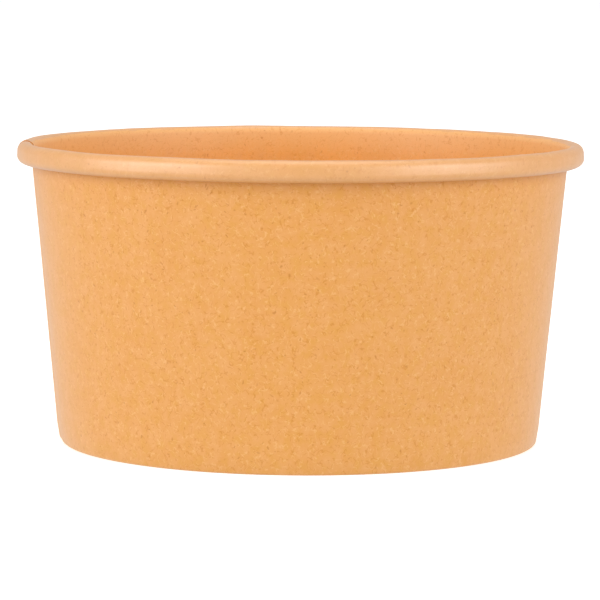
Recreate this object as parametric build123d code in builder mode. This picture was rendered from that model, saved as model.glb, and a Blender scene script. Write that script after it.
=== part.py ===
from build123d import *
from math import asin, atan2, cos, degrees, hypot, radians, sin
import os

# Round paperboard ice cream tub, millimetres. It stands on z = 0 with its axis on Z.
# The side wall is one fan-shaped blank, lapped into a cone. Its top edge is rolled
# outward into the rim and its bottom edge is folded in, round the skirt of the base.

# Overall sizes
rim_diameter = 115.0     # over the rolled rim
foot_diameter = 97.4     # over the wall at the foot
height = 61.0

# Board
wall_board = 0.45
base_board = 0.40
seal_line = 0.02         # melted coating between two faces of board

# Rolled rim
roll_width = 3.6
roll_height = 4.35
tuck_gap = 0.1           # from the tucked edge to the wall

# Foot
fold_bend = 0.05         # inside radius of the fold under the base skirt
hem_height = 6.0         # folded edge of the wall, inside the skirt
base_recess = 7.0        # from the foot up to the underside of the base
base_bend = 0.3          # inside radius where the base turns down
skirt_gap = 0.05         # from the edge of the skirt down to the fold

# Side seam, along the slant of the wall
seam_angle = 181.0       # where the inner edge of the lap shows, from +X
lap_width = 9.0
lap_ramp = 3.0           # over which the outer edge steps out by one board

# The outside face of the wall runs straight from the foot to the roll, and touches
# the inner side of the roll's upper arc.
rim_radius = rim_diameter / 2
foot_radius = foot_diameter / 2
curl_centre = Vector(rim_radius - roll_width / 2, height - roll_width / 2)
upper_radius = roll_width / 2 - wall_board
rise = atan2(curl_centre.X - foot_radius, curl_centre.Y)
reach = hypot(curl_centre.X - foot_radius, curl_centre.Y)
lean = degrees(rise - asin(upper_radius / reach))
up_wall = Vector(sin(radians(lean)), cos(radians(lean)))
into_wall = Vector(-up_wall.Y, up_wall.X)
curl_start = curl_centre + into_wall * upper_radius

# The lower arc of the roll brings the edge back, parallel to the wall and tuck_gap from it,
# and the edge ends as high as the outer side of the roll runs straight.
lower_reach = upper_radius * (1 + up_wall.Y) - wall_board - tuck_gap
lower_drop = roll_height - roll_width / 2 - wall_board
lower_radius = (lower_reach + lower_drop * up_wall.X) / (1 + up_wall.Y + up_wall.X)
outer_run = lower_drop - lower_radius

# Wall, skirt and hem lie one on another at the foot.
skirt_depth = wall_board + seal_line
hem_depth = skirt_depth + base_board + seal_line
foot_stack = hem_depth + wall_board

lap_degrees = degrees(lap_width / rim_radius)
ramp_degrees = degrees(lap_ramp / rim_radius)


def wall_point(depth, level):
    """Point at a level above the foot, at a depth under the outside face of the wall."""
    start = Vector(foot_radius, 0) + into_wall * depth
    point = start + up_wall * ((level - start.Y) / up_wall.Y)
    return (point.X, point.Y)


def board_face(depth):
    """Line of one face of the wall's board, from the hem to the end of the roll."""
    corners = [
        wall_point(foot_stack - depth, hem_height),
        wall_point(foot_stack - depth, depth),
        wall_point(depth, depth),
        (curl_start.X + into_wall.X * depth, curl_start.Y + into_wall.Y * depth),
    ]
    wall = FilletPolyline(*corners, radius=fold_bend + wall_board - depth)
    upper = JernArc(wall @ 1, wall % 1, upper_radius + depth, lean - 180)
    outer = PolarLine(upper @ 1, outer_run, direction=upper % 1)
    lower = JernArc(outer @ 1, outer % 1, lower_radius + depth, -lean - 180)
    tuck = PolarLine(lower @ 1, outer_run, direction=lower % 1)
    return wall @ 0, tuck @ 1


def board_section(angle, depth):
    """Section of the wall's board at an angle about Z, its outside face at a depth."""
    with BuildSketch(Plane.XZ.rotated((0, 0, angle))) as section:
        with BuildLine():
            outside = board_face(depth)
            inside = board_face(depth + wall_board)
            Line(outside[0], inside[0])
            Line(outside[1], inside[1])
        make_face()
    return section.sketch


# Side wall, with its hem, roll and lap
with BuildPart() as sidewall:
    single = board_section(seam_angle, 0)
    outer_lap = board_section(seam_angle, -wall_board)
    revolve(single, axis=Axis.Z, revolution_arc=ramp_degrees - 360)
    revolve(outer_lap, axis=Axis.Z, revolution_arc=-lap_degrees)
    loft([board_section(seam_angle + ramp_degrees, 0), outer_lap], ruled=True)
    split(bisect_by=Plane.XY)    # the fold is pressed flat where the lap doubles it
sidewall.part.label = "sidewall"

# Base disc, with its edge turned down into a skirt
with BuildPart() as base:
    with BuildSketch(Plane.XZ):
        with BuildLine():
            skirt_end = wall_board + skirt_gap
            outside = FilletPolyline(
                (0, base_recess + base_board),
                wall_point(skirt_depth, base_recess + base_board),
                wall_point(skirt_depth, skirt_end),
                radius=base_bend + base_board,
            )
            inside = FilletPolyline(
                (0, base_recess),
                wall_point(skirt_depth + base_board, base_recess),
                wall_point(skirt_depth + base_board, skirt_end),
                radius=base_bend,
            )
            Line(outside @ 0, inside @ 0)
            Line(outside @ 1, inside @ 1)
        make_face()
    revolve(axis=Axis.Z)
base.part.label = "base"

os.makedirs("parts", exist_ok=True)
export_step(sidewall.part, "parts/sidewall.step")
export_step(base.part, "parts/base.step")
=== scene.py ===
# Kraft ice cream tub: one lapped side wall with a rolled rim, and a base held in its hem
import math

import bpy
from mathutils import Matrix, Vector


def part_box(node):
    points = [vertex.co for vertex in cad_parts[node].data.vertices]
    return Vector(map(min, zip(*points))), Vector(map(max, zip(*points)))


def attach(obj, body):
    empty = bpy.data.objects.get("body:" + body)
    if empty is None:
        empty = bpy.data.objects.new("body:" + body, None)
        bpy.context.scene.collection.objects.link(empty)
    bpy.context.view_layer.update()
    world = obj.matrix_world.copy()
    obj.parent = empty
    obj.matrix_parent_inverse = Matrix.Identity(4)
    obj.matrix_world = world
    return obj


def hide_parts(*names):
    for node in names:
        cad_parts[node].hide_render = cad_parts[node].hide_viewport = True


mm = 0.001
nodeGrid = 200                   # spacing of the nodes in the editor
smoothBelow = math.radians(40)   # sharper edges than this stay sharp

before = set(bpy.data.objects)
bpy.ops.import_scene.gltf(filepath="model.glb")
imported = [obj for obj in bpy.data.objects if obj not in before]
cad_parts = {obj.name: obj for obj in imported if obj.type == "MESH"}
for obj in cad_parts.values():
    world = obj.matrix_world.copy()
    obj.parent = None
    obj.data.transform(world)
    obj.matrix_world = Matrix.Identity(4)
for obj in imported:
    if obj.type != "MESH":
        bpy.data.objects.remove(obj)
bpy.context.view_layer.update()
_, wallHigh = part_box("sidewall")
baseLow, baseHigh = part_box("base")
print("frame loaded")


# board finishes
def addNode(tree, kind, place, inputs=None, **settings):
    node = tree.nodes.new(kind)
    node.location = (place[0] * nodeGrid, place[1] * nodeGrid)
    for key, value in settings.items():
        setattr(node, key, value)
    for key, value in (inputs or {}).items():
        if isinstance(value, bpy.types.NodeSocket):
            tree.links.new(value, node.inputs[key])
        else:
            node.inputs[key].default_value = value
    return node


def blendColours(tree, place, factor, first, second):
    node = addNode(tree, "ShaderNodeMix", place, {"Factor": factor}, data_type="RGBA")
    for socket, value in ((node.inputs[6], first), (node.inputs[7], second)):
        if isinstance(value, bpy.types.NodeSocket):
            tree.links.new(value, socket)
        else:
            socket.default_value = (*value, 1)
    return node.outputs[2]


def ramp(tree, place, value, low, high):
    node = addNode(tree, "ShaderNodeMapRange", place,
                   {"Value": value, "From Min": low, "From Max": high})
    return node.outputs["Result"]


# thin marks scattered over the board, all lying along one direction
def flecks(tree, place, coords, fleck):
    turned = addNode(tree, "ShaderNodeMapping", place, {
        "Vector": coords,
        "Rotation": (0, 0, math.radians(fleck["turn"])),
        "Scale": (fleck["length"], fleck["width"], 1),
    }, vector_type="TEXTURE")
    cells = addNode(tree, "ShaderNodeTexVoronoi", (place[0] + 1, place[1]),
                    {"Vector": turned.outputs["Vector"], "Scale": 1.0, "Randomness": 1.0},
                    voronoi_dimensions="2D")
    near = ramp(tree, (place[0] + 2, place[1]), cells.outputs["Distance"],
                fleck["reach"], fleck["core"])
    pick = addNode(tree, "ShaderNodeSeparateColor", (place[0] + 2, place[1] - 1),
                   {"Color": cells.outputs["Color"]})
    chosen = ramp(tree, (place[0] + 3, place[1] - 1), pick.outputs["Red"], fleck["share"], 0.0)
    mark = addNode(tree, "ShaderNodeMath", (place[0] + 4, place[1]), {0: near, 1: chosen},
                   operation="MULTIPLY")
    return mark.outputs[0]


# the same fleck laid along several directions, as one mask
def scatter(tree, place, coords, fleck, turns):
    total = None
    for i, turn in enumerate(turns):
        mark = flecks(tree, (place[0], place[1] - 2 * i), coords, {**fleck, "turn": turn})
        if total is None:
            total = mark
        else:
            total = addNode(tree, "ShaderNodeMath", (place[0] + 5, place[1] - 2 * i),
                            {0: total, 1: mark}, operation="MAXIMUM").outputs[0]
    return total


# soft mottling at one scale, in turns per metre
def felt(tree, place, coords, scale, detail):
    noise = addNode(tree, "ShaderNodeTexNoise", place, {
        "Vector": coords,
        "Scale": scale,
        "Detail": detail,
        "Roughness": fibres["feltRoughness"],
    }, noise_dimensions="2D")
    return noise.outputs["Fac"]


# hair-thin curls: the level line of one noise, cut into short lengths by another
def curls(tree, place, coords, curl):
    moved = addNode(tree, "ShaderNodeMapping", place, {"Vector": coords, "Location": curl["shift"]})
    path = felt(tree, (place[0] + 1, place[1]), moved.outputs[0], curl["scale"], 1.0)
    away = addNode(tree, "ShaderNodeMath", (place[0] + 2, place[1]), {0: path, 1: 0.5},
                   operation="SUBTRACT")
    apart = addNode(tree, "ShaderNodeMath", (place[0] + 3, place[1]), {0: away.outputs[0]},
                    operation="ABSOLUTE")
    line = ramp(tree, (place[0] + 4, place[1]), apart.outputs[0], curl["width"], curl["core"])
    gate = felt(tree, (place[0] + 1, place[1] - 1), moved.outputs[0], curl["cut"], 1.0)
    kept = ramp(tree, (place[0] + 2, place[1] - 1), gate, curl["cutFrom"], curl["cutTo"])
    mark = addNode(tree, "ShaderNodeMath", (place[0] + 5, place[1]), {0: line, 1: kept},
                   operation="MULTIPLY")
    return mark.outputs[0]


# mottling of the board, from broad clouds to dust: turns per metre and octaves
mottling = {
    "cloud": (95.0, 3.0),
    "drift": (260.0, 3.0),
    "floc": (380.0, 3.0),
    "grain": (2600.0, 3.0),
    "dust": (5200.0, 2.0),
}

# which part of each mottling takes which tint
tints = (
    ("cloud", 0.36, 0.66, "shade"),
    ("drift", 0.42, 0.68, "grey"),
    ("floc", 0.50, 0.32, "warm"),
    ("floc", 0.52, 0.72, "grey"),
    ("grain", 0.50, 0.68, "low"),
    ("grain", 0.50, 0.32, "high"),
    ("dust", 0.50, 0.70, "low"),
    ("dust", 0.50, 0.30, "high"),
)
broadTints = 4                   # the first ones, which the painted rim light covers

# short fibres, specks and curls
fibres = {
    "dark": {"length": 2.6 * mm, "width": 0.36 * mm, "reach": 0.28, "core": 0.10, "share": 0.14},
    "pale": {"length": 2.6 * mm, "width": 0.36 * mm, "reach": 0.28, "core": 0.10, "share": 0.12},
    "grit": {"length": 2.1 * mm, "width": 1.3 * mm, "reach": 0.15, "core": 0.06, "share": 0.08},
    "darkTurns": (8,),
    "paleTurns": (32,),
    "gritTurns": (20, 75, 140),
    "feltRoughness": 0.6,
    "wanderScale": 520.0,
    "wander": 1.3 * mm,
    "paleCurl": {"scale": 640.0, "width": 0.034, "core": 0.0102,
                 "cut": 900.0, "cutFrom": 0.49, "cutTo": 0.53, "shift": (0.31, 0.17, 0)},
    "darkCurl": {"scale": 600.0, "width": 0.034, "core": 0.0102,
                 "cut": 800.0, "cutFrom": 0.49, "cutTo": 0.53, "shift": (0.83, 0.59, 0)},
    "flocHeight": 0.6,
    "paleHeight": 0.5,
}


def boardMaterial(name, look):
    material = bpy.data.materials.new(name)
    material.use_nodes = True
    tree = material.node_tree
    tree.nodes.clear()
    uv = addNode(tree, "ShaderNodeUVMap", (-12, 0), uv_map="board").outputs["UV"]

    # fibres bend a little, so their coordinates wander
    wander = addNode(tree, "ShaderNodeTexNoise", (-11, -1),
                     {"Vector": uv, "Scale": fibres["wanderScale"], "Detail": 1.0},
                     noise_dimensions="2D")
    centred = addNode(tree, "ShaderNodeVectorMath", (-10, -1),
                      {0: wander.outputs["Color"], 1: (0.5, 0.5, 0.5)}, operation="SUBTRACT")
    bent = addNode(tree, "ShaderNodeVectorMath", (-9, -1),
                   {0: centred.outputs[0], 1: (fibres["wander"],) * 3, 2: uv},
                   operation="MULTIPLY_ADD")
    coords = bent.outputs[0]

    felts = {key: felt(tree, (-9, 6 - i), uv, scale, detail)
             for i, (key, (scale, detail)) in enumerate(mottling.items())}
    paleCurl = curls(tree, (-9, 1), uv, fibres["paleCurl"])
    darkCurl = curls(tree, (-9, -5), uv, fibres["darkCurl"])
    dark = scatter(tree, (-8, -2), coords, fibres["dark"], fibres["darkTurns"])
    pale = scatter(tree, (-8, -11), coords, fibres["pale"], fibres["paleTurns"])
    grit = scatter(tree, (-8, -18), coords, fibres["grit"], fibres["gritTurns"])

    # from the broadest cloud of colour to the smallest speck
    layers = [(ramp(tree, (-7, 6 - i), felts[key], low, high), tint)
              for i, (key, low, high, tint) in enumerate(tints)]
    layers += [
        (darkCurl, "dark"),
        (paleCurl, "pale"),
        (dark, "dark"),
        (pale, "pale"),
        (grit, "grit"),
    ]
    if "stretched" in look:      # painted light: the inner wall is painted paler towards the rim, where more light reaches it
        along = addNode(tree, "ShaderNodeSeparateXYZ", (-7, 8), {0: uv})
        rimLightMask = ramp(tree, (-6, 8), along.outputs["Y"], look["stretchFrom"], look["stretchTo"])
        layers.insert(broadTints, (rimLightMask, "stretched"))
    tone = look["base"]
    for i, (mask, tint) in enumerate(layers):
        share = addNode(tree, "ShaderNodeMath", (-4 + i, 4), {0: mask, 1: look[tint + "Share"]},
                        operation="MULTIPLY")
        tone = blendColours(tree, (-4 + i, 3), share.outputs[0], tone, look[tint])

    # raised fibres and the felt of the sheet
    height = addNode(tree, "ShaderNodeMath", (1, -1),
                     {0: felts["floc"], 1: fibres["flocHeight"], 2: felts["grain"]},
                     operation="MULTIPLY_ADD")
    raised = addNode(tree, "ShaderNodeMath", (2, -1),
                     {0: pale, 1: fibres["paleHeight"], 2: height.outputs[0]},
                     operation="MULTIPLY_ADD")
    bump = addNode(tree, "ShaderNodeBump", (3, -1), {
        "Height": raised.outputs[0],
        "Strength": look["bump"],
        "Distance": look["bumpHeight"],
    })

    shader = addNode(tree, "ShaderNodeBsdfPrincipled", (4, 3), {
        "Base Color": tone,
        "Roughness": look["roughness"],
        "IOR": look["ior"],
        "Normal": bump.outputs["Normal"],
        "Sheen Weight": look["sheen"],
        "Sheen Roughness": look["sheenRoughness"],
        "Coat Weight": look["coat"],
        "Coat Roughness": look["coatRoughness"],
        "Coat IOR": look["coatIor"],
    })
    out = addNode(tree, "ShaderNodeOutputMaterial", (6, 3))
    tree.links.new(shader.outputs[0], out.inputs["Surface"])
    return material


# plain face of the board
kraftLook = {
    "base": (0.715, 0.324, 0.077),
    "shade": (0.700, 0.306, 0.068), "shadeShare": 1.0,
    "grey": (0.738, 0.346, 0.108), "greyShare": 0.64,
    "warm": (0.688, 0.312, 0.052), "warmShare": 0.64,
    "low": (0.640, 0.268, 0.046), "lowShare": 0.06,
    "high": (0.775, 0.378, 0.110), "highShare": 0.06,
    "pale": (0.795, 0.438, 0.160), "paleShare": 0.54,
    "dark": (0.570, 0.198, 0.008), "darkShare": 0.50,
    "grit": (0.460, 0.140, 0.003), "gritShare": 0.58,
    "roughness": 0.56, "ior": 1.45, "sheen": 0.38, "sheenRoughness": 0.45,
    "coat": 0.0, "coatRoughness": 0.3, "coatIor": 1.5, "bump": 0.3, "bumpHeight": 0.04 * mm,
}

# coated face, with painted light making it paler towards the rim, where more light reaches the
# inside
coatedLook = {
    **kraftLook,
    "base": (0.800, 0.348, 0.073), "shade": (0.750, 0.328, 0.069),
    "greyShare": 0.35, "warmShare": 0.35, "lowShare": 0.16, "highShare": 0.16,
    "paleShare": 0.40, "darkShare": 0.36, "gritShare": 0.5,
    # painted light: a paler tone over the top of the inner wall, standing in for the light that
    # falls there
    "stretched": (0.785, 0.420, 0.160), "stretchedShare": 1.0,
    "stretchFrom": 62.0 * mm, "stretchTo": 67.5 * mm,
    "roughness": 0.55, "ior": 1.42, "sheen": 0.0, "bump": 0.12, "bumpHeight": 0.03 * mm,
    "coat": 0.25, "coatRoughness": 0.50,
}

# coated face where the curling tool has polished it
rimLook = {
    **kraftLook,
    "base": (0.675, 0.300, 0.064), "greyShare": 0.35, "warmShare": 0.35,
    "lowShare": 0.10, "highShare": 0.10, "paleShare": 0.32, "darkShare": 0.34, "gritShare": 0.5,
    "roughness": 0.48, "ior": 1.5, "sheen": 0.0, "bump": 0.08, "bumpHeight": 0.03 * mm,
    "coat": 1.0, "coatRoughness": 0.46, "coatIor": 1.85,
}

# cut edge of the board
edgeLook = {
    **kraftLook,
    "base": (0.50, 0.21, 0.065), "shade": (0.40, 0.16, 0.045),
    "roughness": 0.8, "sheen": 0.1, "bump": 0.6,
}

kraftOutside = boardMaterial("kraftOutside", kraftLook)
kraftCoated = boardMaterial("kraftCoated", coatedLook)
kraftEdge = boardMaterial("kraftCutEdge", edgeLook)
kraftRim = boardMaterial("kraftRim", rimLook)
print("board finishes made")


# drawing a section of board
def deselectAll():
    bpy.ops.object.select_all(action="DESELECT")


# draws one open line in the XZ plane, run by run, in edit mode
def startLine(name, x, z, heading):
    deselectAll()
    bpy.ops.mesh.primitive_plane_add(size=mm, location=(x, 0, z))
    piece = bpy.context.object
    piece.name = name
    bpy.ops.object.transform_apply(location=True)
    bpy.ops.object.mode_set(mode="EDIT")
    bpy.ops.mesh.merge(type="CENTER")
    return {"piece": piece, "x": x, "z": z, "heading": heading}


def runStraight(pen, length, steps):
    dx = length * math.cos(pen["heading"])
    dz = length * math.sin(pen["heading"])
    for _ in range(steps):
        bpy.ops.mesh.extrude_region_move(
            TRANSFORM_OT_translate={"value": (dx / steps, 0, dz / steps)})
    pen["x"] += dx
    pen["z"] += dz


# left by a positive angle, right by a negative one
def runTurn(pen, radius, angle, steps):
    side = math.copysign(radius, angle)
    cx = pen["x"] - side * math.sin(pen["heading"])
    cz = pen["z"] + side * math.cos(pen["heading"])
    bpy.ops.mesh.spin(steps=steps, angle=angle, center=(cx, 0, cz), axis=(0, 1, 0))
    pen["heading"] += angle
    pen["x"] = cx + side * math.sin(pen["heading"])
    pen["z"] = cz - side * math.cos(pen["heading"])


# distance of each vertex of an open line from its first vertex
def lengthsAlong(mesh):
    beside = {v.index: [] for v in mesh.vertices}
    for edge in mesh.edges:
        a, b = edge.vertices
        beside[a].append(b)
        beside[b].append(a)
    lengths = {0: 0.0}
    here = 0
    while len(lengths) < len(beside):
        after = next(n for n in beside[here] if n not in lengths)
        lengths[after] = lengths[here] + (mesh.vertices[after].co - mesh.vertices[here].co).length
        here = after
    return lengths


def applyModifier(piece, modifier):
    deselectAll()
    piece.select_set(True)
    bpy.context.view_layer.objects.active = piece
    bpy.ops.object.modifier_apply(modifier=modifier.name)


# an uneven face, raised or dented about a level of its pattern
def wavePiece(piece, groupName, strength, length, level):
    pattern = bpy.data.textures.new(piece.name + groupName, "CLOUDS")
    pattern.noise_scale = length
    wave = piece.modifiers.new(groupName, "DISPLACE")
    wave.vertex_group = groupName
    wave.texture = pattern
    wave.texture_coords = "LOCAL"
    wave.strength = strength
    wave.mid_level = level
    applyModifier(piece, wave)


# first finish on the drawn face, second on the far one, third on the cut edges
def thicken(piece, thickness, finishes):
    for finish in finishes:
        piece.data.materials.append(finish)
    solid = piece.modifiers.new("board", "SOLIDIFY")
    solid.thickness = thickness
    solid.offset = -1
    solid.use_even_offset = True
    solid.use_quality_normals = True
    solid.material_offset = 1
    solid.material_offset_rim = 2
    applyModifier(piece, solid)


def finishPiece(piece, node):
    deselectAll()
    piece.select_set(True)
    bpy.context.view_layer.objects.active = piece
    bpy.ops.object.shade_smooth_by_angle(angle=smoothBelow)
    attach(piece, "root")
    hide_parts(node)


# the folded foot is pressed in a little all round
def pressFoot(mesh, f):
    for vertex in mesh.vertices:
        x, y, z = vertex.co
        if z < f["height"]:
            inward = f["depth"] * (1 - max(z, 0.0) / f["height"]) ** 2
            scale = 1 - inward / math.hypot(x, y)
            vertex.co.x = x * scale
            vertex.co.y = y * scale


foot = {"height": 2.6 * mm, "depth": 0.28 * mm}


# side wall
wall = {
    "board": 0.45 * mm,
    "footRadius": 48.7 * mm,
    "rollWidth": 3.6 * mm,
    "rollHeight": 4.35 * mm,
    "tuckGap": 0.1 * mm,
    "foldBend": 0.05 * mm,
    "footStack": 1.34 * mm,      # wall, base skirt and hem
    "hemHeight": 6.0 * mm,
    "seamAngle": 181.0,          # where the inner edge of the lap shows
    "steps": {"hem": 4, "fold": 6, "foot": 1, "wall": 20, "upperArc": 18, "run": 2, "lowerArc": 14},
    "turnSteps": 320,            # round the tub once
    "lapSteps": 8,
    "rampSteps": 3,              # over which the outer edge steps out
    "sealLine": 0.02 * mm,
    "glossDepth": 0.5 * mm,      # below the crest of the rim
    "glossRadius": 54.6 * mm,
    "rollWave": 0.24 * mm,
    "rollWaveLength": 14 * mm,
    "rollWaveLevel": 0.15,       # dents rather than bumps
    "rollWaveStart": 1.5 * mm,   # below the roll
    "wallWave": 0.10 * mm,
    "wallWaveLength": 30 * mm,
    "wallWaveLevel": 0.5,
    "wallWaveFrom": 8 * mm,
    "wallWaveTo": 20 * mm,
}


# the wall's outside face is straight from the foot to the roll's upper arc
def wallShape(w):
    upperRadius = w["rollWidth"] / 2 - w["board"]
    curlX = wallHigh.x - w["rollWidth"] / 2
    curlZ = wallHigh.z - w["rollWidth"] / 2
    reach = math.hypot(curlX - w["footRadius"], curlZ)
    lean = math.atan2(curlX - w["footRadius"], curlZ) - math.asin(upperRadius / reach)
    lowerDrop = w["rollHeight"] - w["rollWidth"] / 2 - w["board"]
    lowerReach = upperRadius * (1 + math.cos(lean)) - w["board"] - w["tuckGap"]
    lowerRadius = (lowerReach + lowerDrop * math.sin(lean)) / (1 + math.cos(lean) + math.sin(lean))
    return {
        "lean": lean,
        "slant": math.sqrt(reach ** 2 - upperRadius ** 2),
        "upperRadius": upperRadius,
        "lowerRadius": lowerRadius,
        "outerRun": lowerDrop - lowerRadius,
    }


def buildWall(w):
    shape = wallShape(w)
    steps = w["steps"]
    lean = shape["lean"]
    foldRadius = w["foldBend"] + w["board"]
    innerTurn = math.pi / 2 + lean
    outerTurn = math.pi / 2 - lean
    innerCut = foldRadius * math.tan(innerTurn / 2)
    outerCut = foldRadius * math.tan(outerTurn / 2)
    stack = w["footStack"] / math.cos(lean)

    # outside face of the board: hem, fold under the foot, wall, roll
    startX = w["footRadius"] - stack + w["hemHeight"] * math.tan(lean)
    pen = startLine("tubWall", startX, w["hemHeight"], -math.pi / 2 - lean)
    runStraight(pen, w["hemHeight"] / math.cos(lean) - innerCut, steps["hem"])
    runTurn(pen, foldRadius, innerTurn, steps["fold"])
    runStraight(pen, stack - innerCut - outerCut, steps["foot"])
    runTurn(pen, foldRadius, outerTurn, steps["fold"])
    runStraight(pen, shape["slant"] - outerCut, steps["wall"])
    rollStart = pen["z"]
    runTurn(pen, shape["upperRadius"], lean - math.pi, steps["upperArc"])
    runStraight(pen, shape["outerRun"], steps["run"])
    runTurn(pen, shape["lowerRadius"], -math.pi - lean, steps["lowerArc"])
    runStraight(pen, shape["outerRun"], steps["run"])

    # rolled up from the lap's inner edge to its outer edge
    bpy.ops.object.mode_set(mode="OBJECT")
    piece = pen["piece"]
    mesh = piece.data
    points = len(mesh.vertices)
    lengths = lengthsAlong(mesh)
    stepAngle = 2 * math.pi / w["turnSteps"]
    rings = w["turnSteps"] + w["lapSteps"]
    bpy.ops.object.mode_set(mode="EDIT")
    bpy.ops.mesh.select_all(action="SELECT")
    bpy.ops.mesh.spin(steps=rings, angle=rings * stepAngle, center=(0, 0, 0), axis=(0, 0, 1))
    bpy.ops.mesh.select_all(action="SELECT")
    bpy.ops.mesh.normals_make_consistent(inside=True)     # the roll turns the sheet's back outward
    bpy.ops.object.mode_set(mode="OBJECT")
    piece.rotation_euler.z = math.radians(w["seamAngle"])
    bpy.ops.object.transform_apply(rotation=True)

    # flat layout of the blank, in metres, which carries the grain of the board
    layout = mesh.uv_layers.new(name="board")
    for loop in mesh.loops:
        ring, point = divmod(loop.vertex_index, points)
        layout.data[loop.index].uv = (ring * stepAngle * wallHigh.x, lengths[point])

    # the lap's outer layer steps out by one board
    lap = piece.vertex_groups.new(name="lap")
    rampStart = w["turnSteps"] - w["rampSteps"]
    for ring in range(rampStart, rings + 1):
        share = min(1.0, (ring - rampStart) / w["rampSteps"])
        share = share * share * (3 - 2 * share)
        lap.add(list(range(ring * points, (ring + 1) * points)), share, "REPLACE")
    stepOut = piece.modifiers.new("stepOut", "DISPLACE")
    stepOut.vertex_group = "lap"
    stepOut.strength = w["board"] + w["sealLine"]
    stepOut.mid_level = 0
    applyModifier(piece, stepOut)

    # pressed flat under the foot, with the lap's inner layer inside the outer one
    for vertex in mesh.vertices:
        inLap = vertex.index // points < w["lapSteps"]
        vertex.co.z = max(vertex.co.z, w["sealLine"] if inLap else 0.0)
    pressFoot(mesh, foot)

    # the board is never quite even
    for name, low, high in (
            ("roll", rollStart - w["rollWaveStart"], rollStart),
            ("wall", w["wallWaveFrom"], w["wallWaveTo"])):
        group = piece.vertex_groups.new(name=name)
        for vertex in mesh.vertices:
            share = min(1.0, max(0.0, (vertex.co.z - low) / (high - low)))
            group.add([vertex.index], share, "REPLACE")
        wavePiece(piece, name, w[name + "Wave"], w[name + "WaveLength"], w[name + "WaveLevel"])

    thicken(piece, w["board"], (kraftOutside, kraftCoated, kraftEdge))

    # the curling tool leaves the coated face of the roll glossier
    coated = mesh.materials.find(kraftCoated.name)
    mesh.materials.append(kraftRim)
    polished = mesh.materials.find(kraftRim.name)
    for polygon in mesh.polygons:
        x, y, z = polygon.center
        onRoll = z > wallHigh.z - w["glossDepth"] or math.hypot(x, y) > w["glossRadius"]
        if polygon.material_index == coated and onRoll:
            polygon.material_index = polished
    finishPiece(piece, "sidewall")
    return piece


tubWall = buildWall(wall)
print("side wall made", len(tubWall.data.polygons), "faces")


# base
base = {
    "board": 0.40 * mm,
    "bend": 0.3 * mm,
    "steps": {"disc": 24, "bend": 6, "skirt": 4},
    "turnSteps": 200,            # round the tub once
    "mergeWithin": 0.01 * mm,    # at the middle, and where the turn closes
    "wave": 0.25 * mm,
    "waveLength": 35 * mm,
    "waveLevel": 0.5,
    "evenFrom": 42 * mm,         # the edge of the disc lies even
}


def buildBase(b, w):
    lean = wallShape(w)["lean"]
    steps = b["steps"]
    top = baseHigh.z
    outerBend = b["bend"] + b["board"]
    downTurn = math.pi / 2 + lean
    cut = outerBend * math.tan(downTurn / 2)
    corner = w["footRadius"] - (w["board"] + w["sealLine"]) / math.cos(lean) + top * math.tan(lean)

    # upper face of the disc, then the outside of its skirt
    pen = startLine("tubBase", 0, top, 0)
    runStraight(pen, corner - cut, steps["disc"])
    runTurn(pen, outerBend, -downTurn, steps["bend"])
    runStraight(pen, (top - baseLow.z) / math.cos(lean) - cut, steps["skirt"])
    bpy.ops.mesh.select_all(action="SELECT")
    bpy.ops.mesh.spin(steps=b["turnSteps"], angle=2 * math.pi, center=(0, 0, 0), axis=(0, 0, 1))
    bpy.ops.mesh.select_all(action="SELECT")
    bpy.ops.mesh.remove_doubles(threshold=b["mergeWithin"])
    bpy.ops.mesh.normals_make_consistent(inside=False)
    bpy.ops.object.mode_set(mode="OBJECT")
    piece = pen["piece"]
    mesh = piece.data

    # flat layout: the skirt opens out round the disc
    layout = mesh.uv_layers.new(name="board")
    for loop in mesh.loops:
        x, y, z = mesh.vertices[loop.vertex_index].co
        radius = math.hypot(x, y)
        out = 1 + (top - z) / radius if radius > 0 else 1
        layout.data[loop.index].uv = (x * out, y * out)

    disc = piece.vertex_groups.new(name="disc")
    for vertex in mesh.vertices:
        radius = math.hypot(vertex.co.x, vertex.co.y)
        disc.add([vertex.index], min(1.0, max(0.0, 1 - radius / b["evenFrom"])), "REPLACE")
    wavePiece(piece, disc.name, b["wave"], b["waveLength"], b["waveLevel"])
    pressFoot(mesh, foot)
    thicken(piece, b["board"], (kraftCoated, kraftOutside, kraftEdge))
    finishPiece(piece, "base")
    return piece


tubBase = buildBase(base, wall)
print("base made", len(tubBase.data.polygons), "faces")


# floor, light and camera
stage = {
    "floorSize": 40.0,
    "floorTone": (0.92, 0.92, 0.92, 1),
    "floorRoughness": 0.9,
    "floorGlow": 0.45,
    "surroundAbove": 0.62,
    "surroundBelow": 0.88,
    "surroundBlend": 0.1,
    "lights": {
        "leftBox": {"place": (-1.01, -0.62, 0.42), "size": 1.1, "power": 10.4},
        "rightBox": {"place": (1.01, -0.62, 0.42), "size": 1.1, "power": 8.7},
        "topBox": {"place": (0.0, 0.1, 1.4), "size": 1.2, "power": 5.0},
    },
}


def addSoftLight(name, place, size, power):
    light = bpy.data.lights.new(name, "AREA")
    light.shape = "DISK"
    light.size = size
    light.energy = power
    lamp = bpy.data.objects.new(name, light)
    bpy.context.scene.collection.objects.link(lamp)
    lamp.location = place
    aim = Vector((0, 0, wallHigh.z / 2)) - lamp.location
    lamp.rotation_euler = aim.to_track_quat("-Z", "Y").to_euler()


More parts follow.
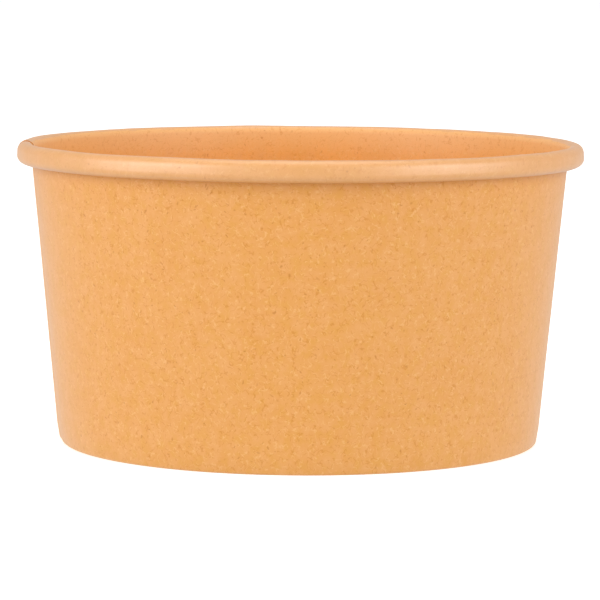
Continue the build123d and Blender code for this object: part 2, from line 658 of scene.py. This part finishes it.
def buildStage(s):
    deselectAll()
    bpy.ops.mesh.primitive_plane_add(size=s["floorSize"], location=(0, 0, 0))
    floor = bpy.context.object
    floor.name = "floor"
    paint = bpy.data.materials.new("paleFloor")
    paint.use_nodes = True
    shader = paint.node_tree.nodes["Principled BSDF"]
    shader.inputs["Base Color"].default_value = s["floorTone"]
    shader.inputs["Roughness"].default_value = s["floorRoughness"]
    shader.inputs["Emission Color"].default_value = (1, 1, 1, 1)
    shader.inputs["Emission Strength"].default_value = s["floorGlow"]
    floor.data.materials.append(paint)
    floor.visible_diffuse = False      # it throws no light up under the rim
    floor.visible_glossy = False

    world = bpy.data.worlds.new("surround")
    bpy.context.scene.world = world
    world.use_nodes = True
    sky = world.node_tree.nodes["Background"]
    sky.inputs["Color"].default_value = (1, 1, 1, 1)
    heading = addNode(world.node_tree, "ShaderNodeTexCoord", (-4, 0))
    upward = addNode(world.node_tree, "ShaderNodeSeparateXYZ", (-3, 0),
                     {0: heading.outputs["Generated"]})
    strength = addNode(world.node_tree, "ShaderNodeMapRange", (-2, 0), {
        "Value": upward.outputs["Z"],
        "From Min": -s["surroundBlend"], "From Max": s["surroundBlend"],
        "To Min": s["surroundBelow"], "To Max": s["surroundAbove"],
    })
    world.node_tree.links.new(strength.outputs["Result"], sky.inputs["Strength"])
    for name, box in s["lights"].items():
        addSoftLight(name, box["place"], box["size"], box["power"])
    bpy.context.scene.view_settings.view_transform = "Standard"


viewpoint = {
    "aim": (0.06 * mm, 0, 28.57 * mm),
    "distance": 710.65 * mm,
    "elevation": 6.22,
    "roll": 0.37,
    "lens": 208.8,
    "sensor": 36.0,
    "near": 10 * mm,
}


def placeCamera(v):
    eye = bpy.data.cameras.new("eye")
    eye.sensor_width = v["sensor"]
    eye.lens = v["lens"]
    eye.clip_start = v["near"]
    camera = bpy.data.objects.new("eye", eye)
    bpy.context.scene.collection.objects.link(camera)
    bpy.context.scene.camera = camera
    lift = math.radians(v["elevation"])
    camera.location = (
        v["aim"][0],
        v["aim"][1] - v["distance"] * math.cos(lift),
        v["aim"][2] + v["distance"] * math.sin(lift),
    )
    camera.rotation_mode = "ZYX"
    camera.rotation_euler = (math.pi / 2 - lift, 0, math.radians(v["roll"]))


buildStage(stage)
placeCamera(viewpoint)
print("stage, lights and camera set")
